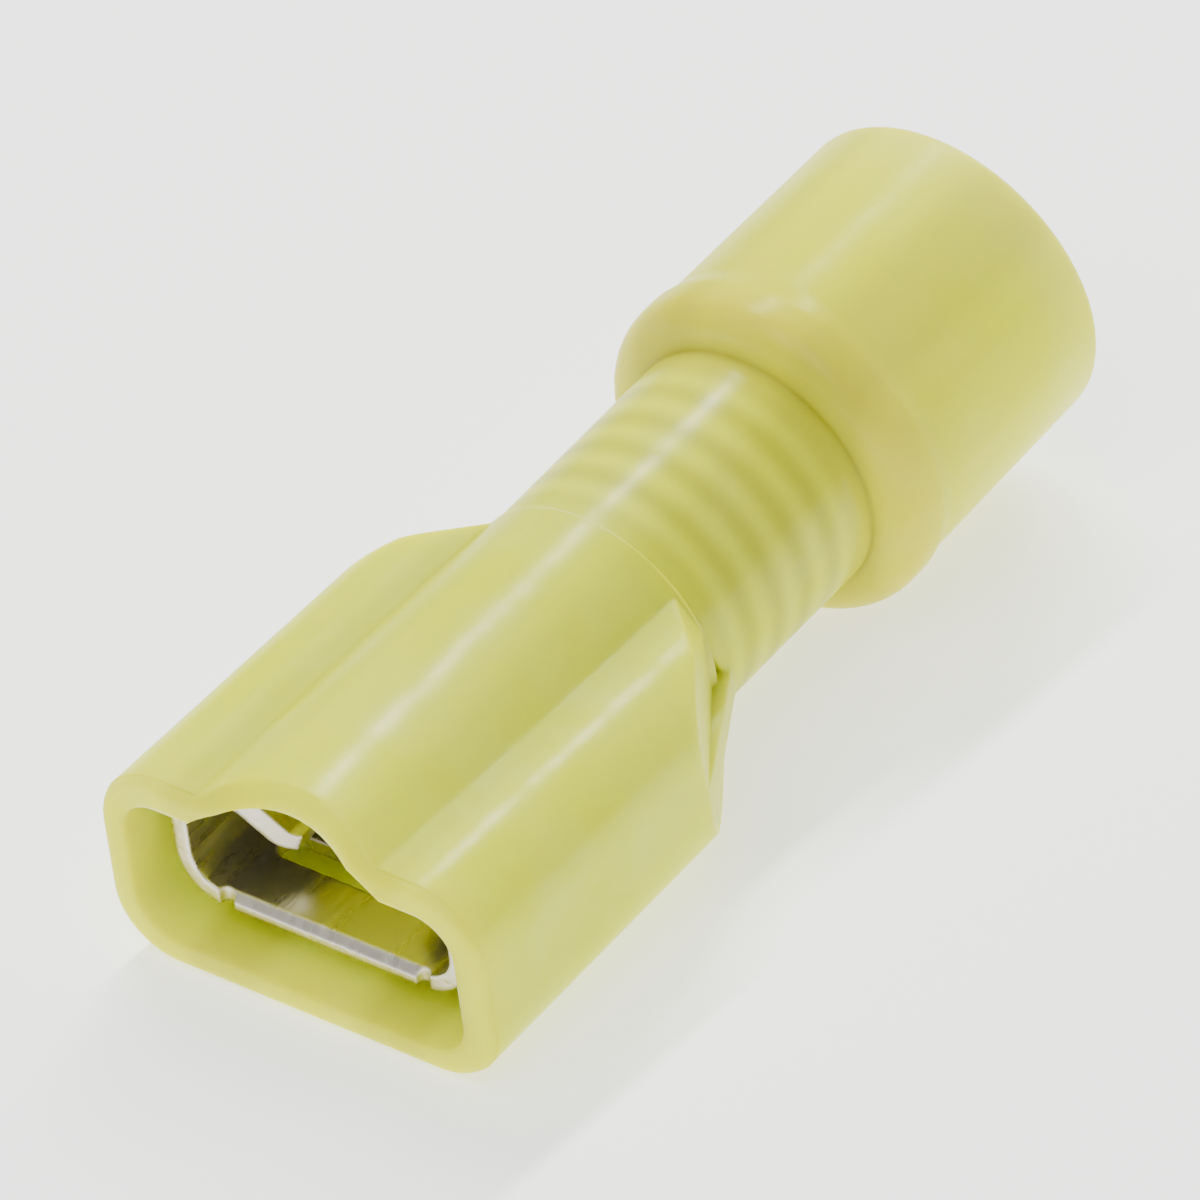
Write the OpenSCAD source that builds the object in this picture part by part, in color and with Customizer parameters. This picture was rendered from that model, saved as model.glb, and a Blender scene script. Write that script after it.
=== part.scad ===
// Fully insulated female spade terminal for a 6.35 x 0.8 mm tab and 4 to 6 mm2 wire.
// Three pieces: a moulded nylon housing, a folded tinned brass terminal and a
// thin grooved support sleeve pressed over the terminal's wire barrel.
//
// Sections are drawn with "along" measured from the mouth towards the wire end and
// "up" from the flat underside of the box; row_frame() then moves every piece so that
// the origin is the centre of the wire entry, with +Y pointing out of it.

/* [Housing] */
// Length from the mouth to the wire entry
overall_l = 25.6; // [25:0.1:26.5]
// Width of the box end
box_w = 10.68; // [10.4:0.02:11]
// Height of the side wings at the mouth
wing_h = 5.5; // [5.4:0.05:5.7]
// Radius of the two lower edges of the box
bottom_r = 1.65; // [1.3:0.05:1.7]
// Radius of the two upper edges of the wings
wing_r = 1.75; // [1.4:0.05:1.8]
// Radius of the hump's crown at the mouth
hump_front_r = 4.4; // [4.3:0.05:4.5]
// Radius of the hump's crown where it ends on the neck
hump_rear_r = 3.36; // [3.34:0.01:3.4]
// Height of the hump at the mouth
hump_top = 6.3; // [6.2:0.05:6.4]
// Wall thickness of the hump's crown
hump_wall = 0.47; // [0.42:0.01:0.55]
// Lean of the hump's front edge away from the mouth, in degrees
hump_lean = 45; // [35:1:50]
// Fall of the wings towards the wire end, in degrees
wing_fall = 3.2; // [3:0.05:3.6]
// Fall of the hollow's roof under the wings, in degrees
cavity_fall = 2; // [1:0.1:2.2]
// Where the hump ends on the neck
hump_end = 11.6; // [11.3:0.1:11.9]
// Where the shoulders leave the sides of the box
shoulder_start = 8.5; // [8.4:0.05:8.7]
// Where the shoulders reach the neck, at its underside
shoulder_end = 12.9; // [12.7:0.1:13]
// Wall thickness of the box
wall = 0.73; // [0.65:0.01:0.75]
// Rounding of the box's front outer edge
lip_r = 0.28; // [0.2:0.02:0.36]

/* [Neck and collar] */
// Height of the barrel, neck and collar axis above the underside of the box
axis_z = 2.73; // [2.68:0.01:2.76]
// Outer radius of the neck
neck_r = 3.3; // [3.25:0.01:3.35]
// Outer radius of the flange in front of the collar
flange_r = 4.34; // [4.32:0.01:4.4]
// Position of the flange's front face
flange_start = 17.75; // [17.6:0.05:17.8]
// Rounding of the flange's front edge
flange_round = 0.85; // [0.7:0.05:0.9]
// Outer radius of the collar where it leaves the flange
collar_front_r = 4.215; // [4.2:0.005:4.25]
// Outer radius of the collar at the wire entry
collar_rear_r = 4.135; // [4.12:0.01:4.18]
// Rounding of the collar's rear outer edge
collar_round = 0.22; // [0.16:0.02:0.3]
// Radius of the wire entry
entry_r = 3.3; // [3.2:0.05:3.4]
// Depth of the straight part of the wire entry
entry_depth = 4.4; // [4:0.1:4.6]

/* [Terminal] */
// Thickness of the folded strip
strip_t = 0.4; // [0.35:0.01:0.42]
// Position of the terminal's front edge inside the mouth
tip_start = 0.97; // [0.6:0.01:1]
// Where the rolls end
roll_end = 8.5; // [8.4:0.1:8.8]
// Outside width of the receptacle
receptacle_w = 8.05; // [7.9:0.05:8.1]
// Height of the base's underside above the underside of the box
base_z = 1.45; // [1.3:0.05:1.5]
// Inner radius of the wire barrel
barrel_r = 1.75; // [1.7:0.01:1.8]
// Where the closed wire barrel starts
barrel_start = 11.4; // [11.2:0.1:11.6]
// Where the wire barrel ends, against the housing's stop
barrel_end = 18.2; // [18:0.1:18.3]
// Opening of the barrel's butted seam
seam_gap = 0.12; // [0.05:0.01:0.15]

/* [Support sleeve] */
// Wall thickness of the sleeve
sleeve_t = 0.35; // [0.3:0.01:0.36]
// Where the sleeve starts
sleeve_start = 11.9; // [11.8:0.1:12]
// Number of rolled grooves
groove_count = 5; // [3:1:5]
// Distance between grooves
groove_pitch = 1.06; // [1:0.01:1.1]
// Depth of each groove
groove_depth = 0.14; // [0.05:0.01:0.15]

/* [Hidden] */
$fn = 96;
HULL_FN = 40;
BITE = 0.05;
SKIN = 0.02;
FAR = 40;

half_w = box_w / 2;
barrel_outer_r = barrel_r + strip_t;
sleeve_outer_r = barrel_outer_r + sleeve_t;
cavity_end = shoulder_start - 0.1;
bore_start = sleeve_start - 0.3;

// Run per unit of height of the plane where the shoulders end on the neck
end_lean = -0.42;

// Outline of the shoulders seen from above, up to the axis and at the wings' height:
// [half width, distance from the mouth] of the corners on the box's side and on the neck
LOW_SHOULDER = [[6, shoulder_start - 0.96], [1.5, shoulder_start + 5.6]];
HIGH_SHOULDER = [[6, shoulder_start - 1.28], [2.72, shoulder_start + 1.71]];
low_shoulder_z = 2.4;
high_shoulder_z = 6.5;

// Hump: centres of its crown, its lower limit inside the box, and its step on the neck
hump_step = 0.05;
hump_front_z = hump_top - hump_front_r;
hump_rear_z = axis_z + neck_r + hump_step - hump_rear_r;
hump_floor = 2.5;
lean_from = wing_h - 0.17;

// Folded strip: bend radii, straight runs, and one half of the receptacle's section
corner_r = 0.86;
roll_r = 0.55;
tip_bend_r = 0.3;
wall_run = 0.78;
base_flat = receptacle_w / 2 - corner_r - strip_t;
ROLL = [
  [base_flat, 90, corner_r],
  [wall_run, 150, roll_r],
  [0.95, -42, tip_bend_r],
  [0.12, 0, 1]
];

// Slot across the receptacle's base
slot_at = 2.98;
slot_half = 2.7;
slot_r = 0.42;

trough_half_w = 2.5;

// ---- Frames -------------------------------------------------------------------

module row_frame() {
  translate([0, -overall_l, -axis_z]) children();
}

// Stands a section drawn across (x) and up (y) so that it runs along the part
module run_along(from, to) {
  translate([0, to, 0])
    rotate([90, 0, 0])
      linear_extrude(height = to - from) children();
}

// The same, falling towards the wire end
module run_falling(from, to, fall) {
  rotate([-fall, 0, 0]) run_along(from, to) children();
}

// Turns a profile drawn as radius (x) and distance along (y) about the barrel axis
module turned(angle = 360) {
  translate([0, 0, axis_z])
    rotate([-90, 0, 0])
      rotate_extrude(angle = angle) children();
}

// A slab on a plane that leans by a run per unit of height. A positive depth reaches
// towards the wire end, and a negative one towards the mouth.
module leaning_slab(at, lean, depth) {
  translate([0, at, 0])
    rotate([-atan(lean), 0, 0])
      translate([-FAR / 2, min(0, depth), -FAR / 2]) cube([FAR, abs(depth), FAR]);
}

// ---- Sections of the housing ------------------------------------------------------

// Box without its roof: two rounded lower edges, open above
module tub_section(half, floor_z, r) {
  translate([-half, floor_z + r]) square([2 * half, FAR / 2]);
  translate([-half + r, floor_z]) square([2 * (half - r), r + 1]);
  for (side = [-1, 1])
    translate([side * (half - r), floor_z + r]) circle(r);
}

// Roof of the wings: two rounded upper edges, open below
module wing_section(half, top_z, r) {
  translate([-half, top_z - r - FAR / 2]) square([2 * half, FAR / 2]);
  translate([-half + r, top_z - r - 1]) square([2 * (half - r), r + 1]);
  for (side = [-1, 1])
    translate([side * (half - r), top_z - r]) circle(r);
}

// Wings without the hump, shrunk by an inset on every side
module wings(inset, from, to, fn, fall = wing_fall) {
  $fn = fn;
  intersection() {
    run_along(from, to)
      tub_section(half_w - inset, inset, bottom_r - inset * 0.7);
    run_falling(from - 2, to + 2, fall)
      wing_section(half_w - inset, wing_h - inset, wing_r - inset);
  }
}

// Hump's crown: a cone whose axis rises to the neck's, so that its top falls a little.
// An inset shrinks it for the channel inside.
module hump(inset, from, to) {
  over = 2;
  taper = (hump_front_r - hump_rear_r) / hump_end;
  rise = (hump_rear_z - hump_front_z) / hump_end;
  intersection() {
    translate([0, -over, hump_front_z - over * rise])
      rotate([atan(rise) - 90, 0, 0])
        cylinder(
          r1 = hump_front_r - inset + over * taper,
          r2 = hump_rear_r - inset - over * taper,
          h = hump_end + 2 * over
        );
    run_along(from, to)
      translate([-half_w, hump_floor]) square([box_w, FAR / 2]);
  }
}

// What the hump's front edge leans back from
module hump_front_cut() {
  translate([0, 0, lean_from])
    rotate([-hump_lean, 0, 0])
      translate([-FAR / 2, -FAR, 0]) cube([FAR, FAR, FAR]);
}

// Rounded front edge of a convex body, which the child draws at $lip_at with $lip_inset.
// Its last slice bites into the body, a hair inside its skin.
module rounded_lip(r) {
  steps = 4;
  hull() {
    for (i = [0 : steps]) {
      a = 90 * i / steps;
      $lip_inset = r * (1 - sin(a)) + SKIN;
      $lip_at = r * (1 - cos(a)) + (i == steps ? 0.3 : 0);
      children();
    }
  }
}

// Outline of the box and shoulders from above, given the corners on the right
module shoulder_outline(right) {
  polygon([
    [right[0][0], -1], right[0], right[1],
    [-right[1][0], right[1][1]], [-right[0][0], right[0][1]], [-right[0][0], -1]
  ]);
}

// Box and shoulders: the wings' section, trimmed to an outline that leans forward above
module box_body() {
  intersection() {
    wings(0, lip_r, shoulder_start + 6, $fn);
    hull() {
      translate([0, 0, -1]) linear_extrude(height = low_shoulder_z + 1)
        shoulder_outline(LOW_SHOULDER);
      translate([0, 0, high_shoulder_z]) linear_extrude(height = BITE)
        shoulder_outline(HIGH_SHOULDER);
    }
  }
}

// Underside of the shoulders, running down to the neck
module belly() {
  hull() {
    intersection() {
      wings(SKIN, shoulder_start - 0.1, shoulder_start, HULL_FN);
      translate([-FAR / 2, 0, 0]) cube([FAR, FAR, low_shoulder_z]);
    }
    intersection() {
      translate([0, 0, axis_z]) rotate([-90, 0, 0])
        cylinder(r = neck_r - SKIN, h = shoulder_end + 2, $fn = HULL_FN);
      leaning_slab(shoulder_end, end_lean, 0.3);
      translate([-FAR / 2, 0, low_shoulder_z - FAR]) cube([FAR, FAR, FAR]);
    }
  }
}

// Neck, flange and collar as one turned profile
module barrel_end_profile() {
  flange_c = flange_start + flange_round;
  collar_start = flange_start + 1.75;
  neck_from = hump_end - 1.3;
  translate([0, neck_from]) square([neck_r, overall_l - 1 - neck_from]);
  translate([0, flange_c]) square([flange_r, 0.45]);
  translate([0, flange_start]) square([flange_r - flange_round, flange_round + 0.1]);
  translate([flange_r - flange_round, flange_c]) circle(flange_round);
  polygon([
    [0, flange_c], [flange_r, flange_c + 0.45], [collar_front_r + 0.02, collar_start],
    [collar_front_r, collar_start + 0.1], [collar_rear_r, overall_l - collar_round],
    [0, overall_l - collar_round]
  ]);
  square_to = collar_rear_r - collar_round;
  translate([0, overall_l - 1]) square([square_to, 1]);
  translate([square_to, overall_l - collar_round]) circle(collar_round);
}

// Bore for the sleeve, stop ledge, funnel and wire entry
module bore_profile() {
  entry_from = overall_l - entry_depth;
  translate([0, bore_start]) square([sleeve_outer_r, barrel_end - bore_start]);
  polygon([
    [0, barrel_end - BITE], [barrel_r, barrel_end - BITE], [barrel_r, barrel_end + 0.3],
    [entry_r, entry_from], [entry_r, overall_l + 1], [0, overall_l + 1]
  ]);
}

// Hollow of the box that takes the receptacle
module box_cavity() {
  wings(wall, -1, cavity_end, $fn, cavity_fall);
  hump(hump_wall, -1, cavity_end + 1.4);
  hull() {
    wings(wall + SKIN, cavity_end - 0.3, cavity_end, HULL_FN, cavity_fall);
    translate([0, bore_start + 2 * BITE, axis_z]) rotate([-90, 0, 0])
      cylinder(r = sleeve_outer_r - SKIN, h = 0.3, $fn = HULL_FN);
  }
}

module housing() {
  color("#d9d76a") row_frame() difference() {
    union() {
      box_body();
      hump(0, SKIN, hump_end);
      rounded_lip(lip_r) wings($lip_inset, $lip_at, $lip_at + BITE, HULL_FN);
      belly();
      difference() {
        turned() barrel_end_profile();
        leaning_slab(shoulder_end + 0.1, end_lean, -FAR);
      }
    }
    hump_front_cut();
    box_cavity();
    turned() bore_profile();
  }
}

// ---- Terminal -----------------------------------------------------------------------

// One bend of the strip about the origin's edge, turning left for a positive angle
module bend(angle, r) {
  side = angle > 0 ? 1 : -1;
  centre = side * (r + strip_t / 2);
  reach = 2 * (r + strip_t);
  translate([0, centre]) difference() {
    intersection() {
      circle(r + strip_t);
      polygon([
        [0, 0],
        for (i = [0 : 3]) let (a = -side * 90 + angle * i / 3) reach * [cos(a), sin(a)]
      ]);
    }
    circle(r);
  }
}

// Cross-section of a folded strip: each step is [straight run, bend angle, inner radius]
module folded(steps, i = 0) {
  if (i < len(steps)) {
    run = steps[i][0];
    angle = steps[i][1];
    r = steps[i][2];
    side = angle > 0 ? 1 : -1;
    centre = side * (r + strip_t / 2);
    translate([0, -strip_t / 2]) square([run, strip_t]);
    if (angle != 0) translate([run, 0]) bend(angle, r);
    translate([run, centre]) rotate(angle) translate([0, -centre])
      folded(steps, i + 1);
  }
}

module receptacle() {
  difference() {
    run_along(tip_start, roll_end)
      translate([0, base_z + strip_t / 2])
        for (side = [0, 1]) mirror([side, 0]) folded(ROLL);
    // Rolls cut back from the corners of the walls towards their tips
    translate([0, 0, base_z + strip_t + 0.6]) linear_extrude(height = 4)
      polygon([
        [-3.6, tip_start - 1], [-3.6, tip_start], [-1.4, tip_start + 1.5],
        [1.4, tip_start + 1.5], [3.6, tip_start], [3.6, tip_start - 1]
      ]);
    // Coined lead-in on the front edge of the base
    translate([0, tip_start, base_z + strip_t]) rotate([45, 0, 0])
      cube([2 * base_flat, 0.28, 0.28], center = true);
    // Relief notches where the walls start
    for (side = [-1, 1])
      translate([side * 2.75, tip_start, base_z]) cylinder(r = 0.2, h = 1.2, center = true);
    // Slot across the base
    translate([-slot_half + slot_r, slot_at - slot_r, base_z - 1])
      cube([2 * (slot_half - slot_r), 2 * slot_r, 2]);
    for (side = [-1, 1])
      translate([side * (slot_half - slot_r), slot_at, base_z - 1])
        cylinder(r = slot_r, h = 2);
  }
}

// Solid that tapers from the receptacle's base to the lower half of the barrel
module trough(grow, height, reach) {
  hull() {
    run_along(roll_end - reach, roll_end - reach + BITE)
      translate([-trough_half_w - grow, base_z + strip_t - grow])
        square([2 * (trough_half_w + grow), height]);
    run_along(barrel_start + reach - BITE, barrel_start + reach)
      intersection() {
        translate([0, axis_z]) circle(barrel_r + grow, $fn = HULL_FN);
        translate([-FAR / 2, axis_z - FAR]) square([FAR, FAR + 0.9]);
      }
  }
}

// Open trough, its walls just inside those of the base and the barrel where they meet
module transition() {
  difference() {
    trough(strip_t - SKIN, 1.5, 0.3);
    trough(SKIN, FAR / 4, 0.4);
  }
}

module wire_barrel() {
  seam = asin(seam_gap / 2 / barrel_outer_r);
  translate([0, 0, axis_z]) rotate([-90, 0, 0]) rotate([0, 0, seam - 90])
    rotate_extrude(angle = 360 - 2 * seam)
      translate([barrel_r, barrel_start]) square([strip_t, barrel_end - barrel_start]);
}

module terminal() {
  color("#b9b39a") row_frame() union() {
    receptacle();
    transition();
    wire_barrel();
  }
}

// ---- Support sleeve --------------------------------------------------------------------

module support_sleeve() {
  groove_r = 0.32;
  first = sleeve_start + 0.6;
  color("#a9aa9c") row_frame() turned() difference() {
    translate([barrel_outer_r, sleeve_start])
      square([sleeve_t, barrel_end - sleeve_start]);
    for (i = [0 : groove_count - 1])
      translate([sleeve_outer_r + groove_r - groove_depth, first + i * groove_pitch])
        circle(groove_r);
  }
}

housing();
terminal();
support_sleeve();
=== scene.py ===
"""Looks of the fully insulated female spade terminal: moulded nylon over tinned brass."""
import math

import bpy
from mathutils import Matrix, Vector


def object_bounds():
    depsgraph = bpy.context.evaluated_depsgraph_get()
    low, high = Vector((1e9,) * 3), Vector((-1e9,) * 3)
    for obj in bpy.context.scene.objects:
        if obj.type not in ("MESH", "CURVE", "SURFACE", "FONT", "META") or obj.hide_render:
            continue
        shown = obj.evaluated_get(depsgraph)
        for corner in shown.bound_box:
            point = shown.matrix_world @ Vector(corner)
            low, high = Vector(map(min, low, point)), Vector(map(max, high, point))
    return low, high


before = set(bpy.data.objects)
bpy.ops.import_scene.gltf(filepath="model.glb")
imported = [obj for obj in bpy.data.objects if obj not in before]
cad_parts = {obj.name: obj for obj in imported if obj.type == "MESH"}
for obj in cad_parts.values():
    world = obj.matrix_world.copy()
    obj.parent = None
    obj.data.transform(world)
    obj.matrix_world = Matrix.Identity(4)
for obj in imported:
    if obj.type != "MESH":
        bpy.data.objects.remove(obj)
cad_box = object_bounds()

MM = 0.001

# Radius of the softened edges of the moulding and of the sheared strip
NYLON_EDGE = 0.3 * MM
TIN_EDGE = 0.12 * MM

# Share of the way from the mouth to the wire entry, and the nylon's colour there
NYLON_ALONG = [
    (0.0, "#dfe10c"), (0.05, "#dce400"), (0.4, "#dae200"), (0.5, "#d0d600"), (0.66, "#d2d600"),
    (0.71, "#d6cf00"), (0.77, "#e0e200"), (0.92, "#e5e900"), (1.0, "#e8ea50"),
]
# The same, and how much of its gloss the skin has there: the rim and the collar are duller
GLOSS_ALONG = [(0.0, 0.5), (0.08, 1.0), (0.66, 1.0), (0.76, 0.25)]
# The same, and how strongly the painted highlight and shade bands of the sleeve's grooves show
# there
PAINTED_RINGS_ALONG = [(0.46, 0.0), (0.485, 1.0), (0.65, 1.0), (0.68, 0.0)]

# Painted highlight and shade bands for the sleeve's grooves seen through the neck's wall: the
# first groove's place and the pitch, in millimetres; and how far the painted bands lighten and
# deepen the colour
GROOVE_FIRST = -13.1
GROOVE_PITCH = 1.06
PAINTED_RING_DEPTH = 0.14

# Painted shade over the hump's flanks, where the metal rolls lie behind the wall: distances
# from the middle between which it starts and stops deepening the colour, and by how much
PAINTED_SHADE_STARTS = (0.9 * MM, 1.9 * MM)
PAINTED_SHADE_STOPS = (2.9 * MM, 3.6 * MM)
PAINTED_SHADE_DEPTH = 0.15


# ---- Colours and nodes ----------------------------------------------------------

def linear(hex_colour):
    """An sRGB hex colour as the linear RGBA that a shader takes."""
    channels = [int(hex_colour[i:i + 2], 16) / 255 for i in (1, 3, 5)]
    return [c / 12.92 if c <= 0.04045 else ((c + 0.055) / 1.055) ** 2.4 for c in channels] + [1.0]


def node(tree, kind, links=(), **settings):
    """Adds a shader node, sets its sockets and properties, and links its inputs."""
    made = tree.nodes.new(kind)
    for name, value in settings.items():
        socket = name.replace("_", " ")
        if socket in made.inputs:
            made.inputs[socket].default_value = value
        else:
            setattr(made, name, value)
    for name, source in links:
        tree.links.new(source, made.inputs[name])
    return made


def fill_stops(ramp, stops):
    """Gives a colour ramp its stops: places along it, with a linear colour for each."""
    for i, (at, colour) in enumerate(stops):
        stop = ramp.elements[i] if i < 2 else ramp.elements.new(at)
        stop.position = at
        stop.color = colour


def grey_stops(shares):
    return [(at, (share, share, share, 1.0)) for at, share in shares]


def fresh_material(name):
    material = bpy.data.materials.new(name)
    material.use_nodes = True
    material.node_tree.nodes.clear()
    return material, material.node_tree


def painted_shade_of_rolls(tree, across):
    """Painted shade across the part: the colour's value is lower where the metal rolls lie close
    behind the hump.
    """
    off_axis = node(tree, "ShaderNodeMath", [(0, across)], operation="ABSOLUTE")
    start = node(
        tree, "ShaderNodeMapRange", [("Value", off_axis.outputs["Value"])],
        interpolation_type="SMOOTHSTEP",
        From_Min=PAINTED_SHADE_STARTS[0], From_Max=PAINTED_SHADE_STARTS[1], To_Min=1.0, To_Max=1.0 - PAINTED_SHADE_DEPTH,
    )
    stop = node(
        tree, "ShaderNodeMapRange", [("Value", off_axis.outputs["Value"])],
        interpolation_type="SMOOTHSTEP",
        From_Min=PAINTED_SHADE_STOPS[0], From_Max=PAINTED_SHADE_STOPS[1], To_Max=PAINTED_SHADE_DEPTH,
    )
    both = node(
        tree, "ShaderNodeMath", [(0, start.outputs["Result"]), (1, stop.outputs["Result"])],
        operation="ADD",
    )
    return both.outputs["Value"]


def painted_sleeve_ring_light(tree, along, reach):
    """Painted highlight and shade along the part: soft lighter and deeper bands where the
    sleeve's grooves lie behind the wall.
    """
    turns = node(tree, "ShaderNodeMath", [(0, along)], operation="MULTIPLY_ADD")
    turns.inputs[1].default_value = math.tau / (GROOVE_PITCH * MM)
    turns.inputs[2].default_value = -math.tau * GROOVE_FIRST / GROOVE_PITCH + math.pi / 2
    wave = node(tree, "ShaderNodeMath", [(0, turns.outputs["Value"])], operation="SINE")
    where = node(tree, "ShaderNodeValToRGB", [("Fac", reach)])
    fill_stops(where.color_ramp, grey_stops(PAINTED_RINGS_ALONG))
    rings = node(
        tree, "ShaderNodeMath", [(0, wave.outputs["Value"]), (1, where.outputs["Color"])],
        operation="MULTIPLY",
    )
    value = node(
        tree, "ShaderNodeMapRange", [("Value", rings.outputs["Value"])],
        From_Min=-1.0, To_Min=1.0 - PAINTED_RING_DEPTH, To_Max=1.0 + PAINTED_RING_DEPTH,
    )
    return value.outputs["Result"]


def moulded_nylon():
    """Unfilled nylon 66, injection moulded: milky yellow, deeper where it is thick, with a
    soft gloss and very shallow flow waviness that breaks up its highlights."""
    material, tree = fresh_material("moulded_nylon_66")
    place = node(tree, "ShaderNodeTexCoord").outputs["Object"]
    axes = node(tree, "ShaderNodeSeparateXYZ", [("Vector", place)])
    reach = node(
        tree, "ShaderNodeMapRange", [("Value", axes.outputs["Y"])],
        From_Min=cad_box[0][1], From_Max=cad_box[1][1],
    ).outputs["Result"]

    # Colour: paler and deeper along the part, then clouds of melt flow about 2.5 mm across
    colour = node(tree, "ShaderNodeValToRGB", [("Fac", reach)])
    fill_stops(colour.color_ramp, [(at, linear(tone)) for at, tone in NYLON_ALONG])
    flow = node(
        tree, "ShaderNodeTexNoise", [("Vector", place)], Scale=1 / (2.5 * MM), Detail=3.0,
    )
    cloud = node(
        tree, "ShaderNodeMapRange", [("Value", flow.outputs["Fac"])], To_Min=0.9, To_Max=1.06,
    )
    value = node(
        tree, "ShaderNodeMath",
        [
            # painted shade over the hump's flanks, where the metal rolls lie behind the wall
            (0, painted_shade_of_rolls(tree, axes.outputs["X"])),
            # painted highlight and shade bands where the sleeve's grooves lie behind the neck's
            # wall
            (1, painted_sleeve_ring_light(tree, axes.outputs["Y"], reach)),
        ],
        operation="MULTIPLY",
    )
    tint = node(
        tree, "ShaderNodeHueSaturation",
        [
            ("Color", colour.outputs["Color"]), ("Saturation", cloud.outputs["Result"]),
            ("Value", value.outputs["Value"]),
        ],
    )

    # Surface: shallow waves about 0.8 mm apart on rounded edges
    ripple = node(
        tree, "ShaderNodeTexNoise", [("Vector", place)], Scale=1 / (0.8 * MM), Detail=2.0,
    )
    edge = node(tree, "ShaderNodeBevel", samples=4, Radius=NYLON_EDGE)
    bump = node(
        tree, "ShaderNodeBump",
        [("Height", ripple.outputs["Fac"]), ("Normal", edge.outputs["Normal"])],
        Strength=0.15, Distance=0.02 * MM,
    )

    # Gloss of the moulded skin, patchy with the same waves
    gloss = node(tree, "ShaderNodeValToRGB", [("Fac", reach)])
    fill_stops(gloss.color_ramp, grey_stops(GLOSS_ALONG))
    patches = node(
        tree, "ShaderNodeMapRange", [("Value", ripple.outputs["Fac"])],
        From_Min=0.3, From_Max=0.7, To_Min=0.03, To_Max=0.14,
    )
    skin = node(
        tree, "ShaderNodeMath", [(0, patches.outputs["Result"]), (1, gloss.outputs["Color"])],
        operation="MULTIPLY",
    )
    shader = node(
        tree, "ShaderNodeBsdfPrincipled",
        [
            ("Base Color", tint.outputs["Color"]), ("Normal", bump.outputs["Normal"]),
            ("Coat Normal", bump.outputs["Normal"]), ("Coat Weight", skin.outputs["Value"]),
        ],
        Roughness=0.3, IOR=1.53, Specular_IOR_Level=0.03,
        Subsurface_Weight=1.0, Subsurface_Scale=1.2 * MM, Subsurface_Radius=(1.0, 0.9, 0.35),
        Coat_IOR=2.5, Coat_Roughness=0.22,
    )
    node(tree, "ShaderNodeOutputMaterial", [("Surface", shader.outputs["BSDF"])])
    return material


def tinned_brass():
    """Bright tin over rolled brass strip: mirror-like but faintly streaked along the roll."""
    material, tree = fresh_material("tinned_brass")
    place = node(tree, "ShaderNodeTexCoord").outputs["Object"]
    # Rolling streaks about 0.25 mm apart, and eight times as long as they are wide
    stretch = node(
        tree, "ShaderNodeMapping", [("Vector", place)], Scale=(1.0, 0.12, 1.0),
    )
    streaks = node(
        tree, "ShaderNodeTexNoise", [("Vector", stretch.outputs["Vector"])],
        Scale=1 / (0.25 * MM), Detail=3.0,
    )
    rough = node(
        tree, "ShaderNodeMapRange", [("Value", streaks.outputs["Fac"])],
        To_Min=0.18, To_Max=0.42,
    )
    edge = node(tree, "ShaderNodeBevel", samples=6, Radius=TIN_EDGE)
    bump = node(
        tree, "ShaderNodeBump",
        [("Height", streaks.outputs["Fac"]), ("Normal", edge.outputs["Normal"])],
        Strength=0.6, Distance=0.03 * MM,
    )
    shader = node(
        tree, "ShaderNodeBsdfPrincipled",
        [("Roughness", rough.outputs["Result"]), ("Normal", bump.outputs["Normal"])],
        Metallic=1.0, Base_Color=linear("#e0dacb"),
    )
    node(tree, "ShaderNodeOutputMaterial", [("Surface", shader.outputs["BSDF"])])
    return material


# ---- Camera, floor and light -----------------------------------------------------------

FOCUS = Vector((0.0, -13.75, 0.61)) * MM
VIEW_RIGHT = Vector((0.804, 0.583, -0.112))
VIEW_UP = Vector((-0.319, 0.583, 0.747))
VIEW_WIDTH = 27.12 * MM
CAMERA_DISTANCE = 0.5
SENSOR = 36.0
CAMERA_REACH = 10.0

# Where the part touches the table: height of the mouth's lower edge, place of the flange
MOUTH_REST_Z = -2.73 * MM
FLANGE_REST_Y = -6.8 * MM
TABLE_SIZE = 1.2

ROOM_LIGHT = 0.45


def aim_camera():
    """A long lens from the front right and above, rolled so that the part rises to the right."""
    right = VIEW_RIGHT.normalized()
    back = right.cross(VIEW_UP).normalized()
    up = back.cross(right)
    data = bpy.data.cameras.new("long_lens")
    data.sensor_width = SENSOR
    data.lens = SENSOR * CAMERA_DISTANCE / VIEW_WIDTH
    data.clip_end = CAMERA_REACH
    camera = bpy.data.objects.new("camera", data)
    turn = Matrix((right, up, back)).transposed().to_4x4()
    camera.matrix_world = Matrix.Translation(FOCUS + back * CAMERA_DISTANCE) @ turn
    bpy.context.collection.objects.link(camera)
    bpy.context.scene.camera = camera


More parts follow.
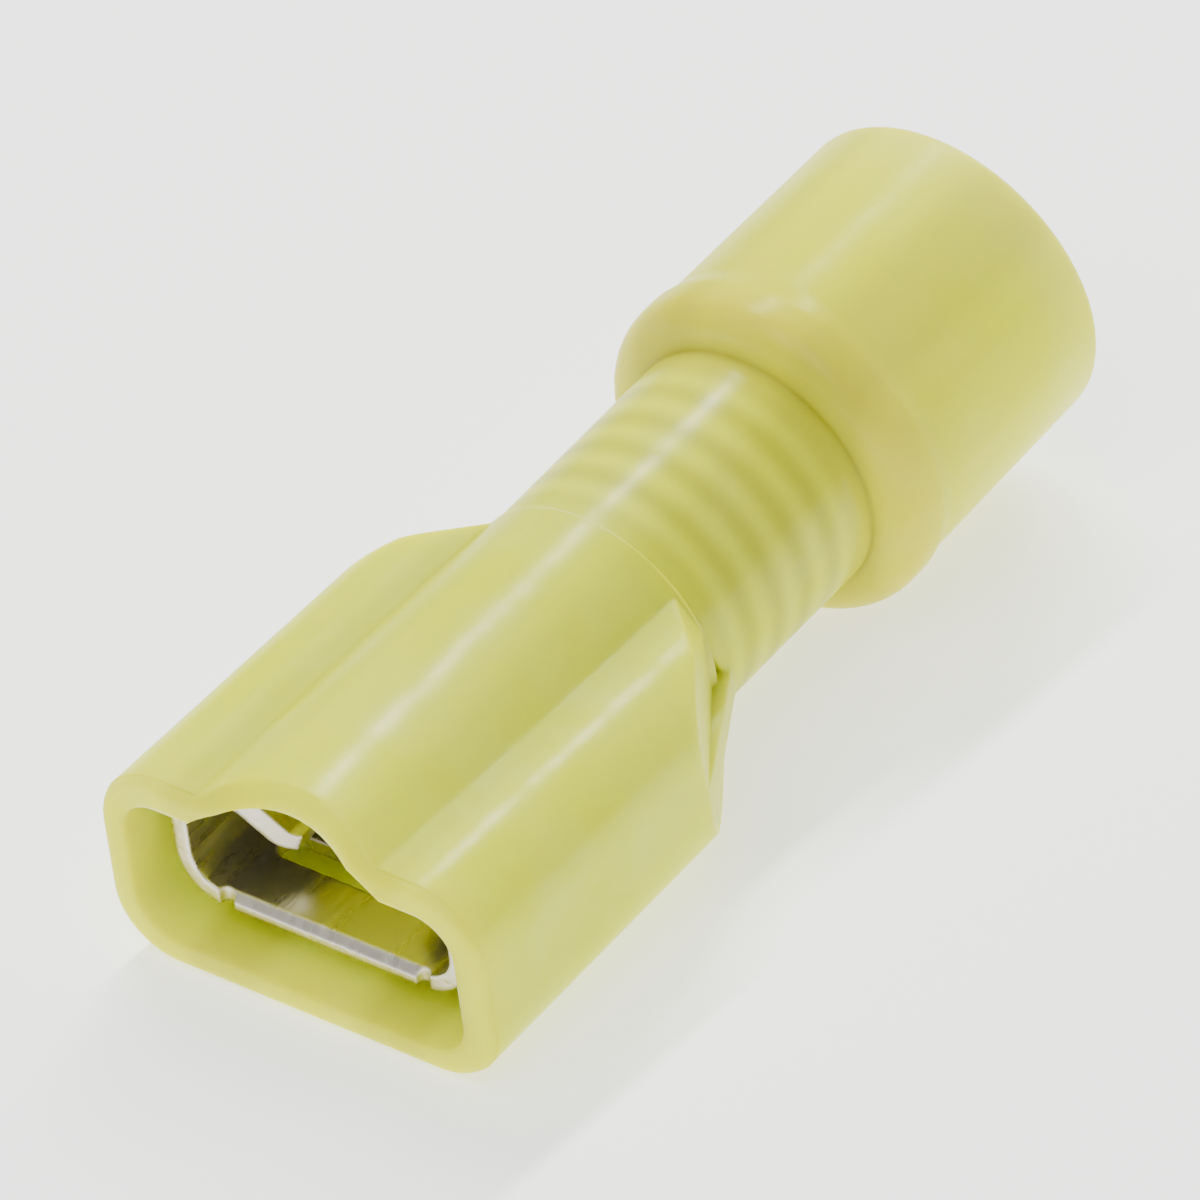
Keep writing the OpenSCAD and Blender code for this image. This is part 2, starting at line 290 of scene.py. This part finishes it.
def lay_floor():
    """A pale table under the two places the part rests on: the flange and the mouth's edge."""
    low = cad_box[0]
    bpy.ops.mesh.primitive_plane_add(size=TABLE_SIZE)
    table = bpy.context.object
    table.name = "table"
    flange = Vector((0.0, FLANGE_REST_Y, low[2]))
    mouth = Vector((0.0, low[1] + 0.1 * MM, MOUTH_REST_Z))
    lean = math.atan2(flange.z - mouth.z, flange.y - mouth.y)
    table.matrix_world = Matrix.Translation(mouth) @ Matrix.Rotation(lean, 4, "X")
    material, tree = fresh_material("pale_table")
    shader = node(
        tree, "ShaderNodeBsdfPrincipled", Roughness=0.6, Base_Color=linear("#f4f4f2"),
        Emission_Color=linear("#ffffff"), Emission_Strength=1.2,
    )
    node(tree, "ShaderNodeOutputMaterial", [("Surface", shader.outputs["BSDF"])])
    table.data.materials.append(material)


def soft_box(name, towards, across, distance, size, power):
    """A rectangular light that faces the middle of the part, its first side along "across"."""
    data = bpy.data.lights.new(name, "AREA")
    data.shape = "RECTANGLE"
    data.size, data.size_y = size
    data.energy = power
    light = bpy.data.objects.new(name, data)
    back = Vector(towards).normalized()
    up = back.cross(Vector(across)).normalized()
    turn = Matrix((up.cross(back), up, back)).transposed().to_4x4()
    light.matrix_world = Matrix.Translation(FOCUS + back * distance) @ turn
    bpy.context.collection.objects.link(light)


def light_studio():
    world = bpy.data.worlds.new("studio")
    world.use_nodes = True
    background = world.node_tree.nodes["Background"]
    background.inputs["Color"].default_value = linear("#ffffff")
    background.inputs["Strength"].default_value = ROOM_LIGHT
    bpy.context.scene.world = world
    soft_box(
        "key", towards=(-0.368, 0.607, 0.701), across=(0.885, 0.0, 0.465),
        distance=0.3, size=(0.02, 0.3), power=1.35,
    )
    soft_box(
        "overhead", towards=(0.05, -0.42, 0.9), across=(1.0, 0.0, 0.0),
        distance=0.4, size=(0.3, 0.3), power=1.1,
    )


# ---- Pieces --------------------------------------------------------------------------------

def dress(node_name, material):
    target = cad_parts[node_name]
    target.data.materials.clear()
    target.data.materials.append(material)


aim_camera()
lay_floor()
light_studio()
nylon = moulded_nylon()
tin = tinned_brass()
dress("housing", nylon)
dress("terminal", tin)
dress("support_sleeve", tin)
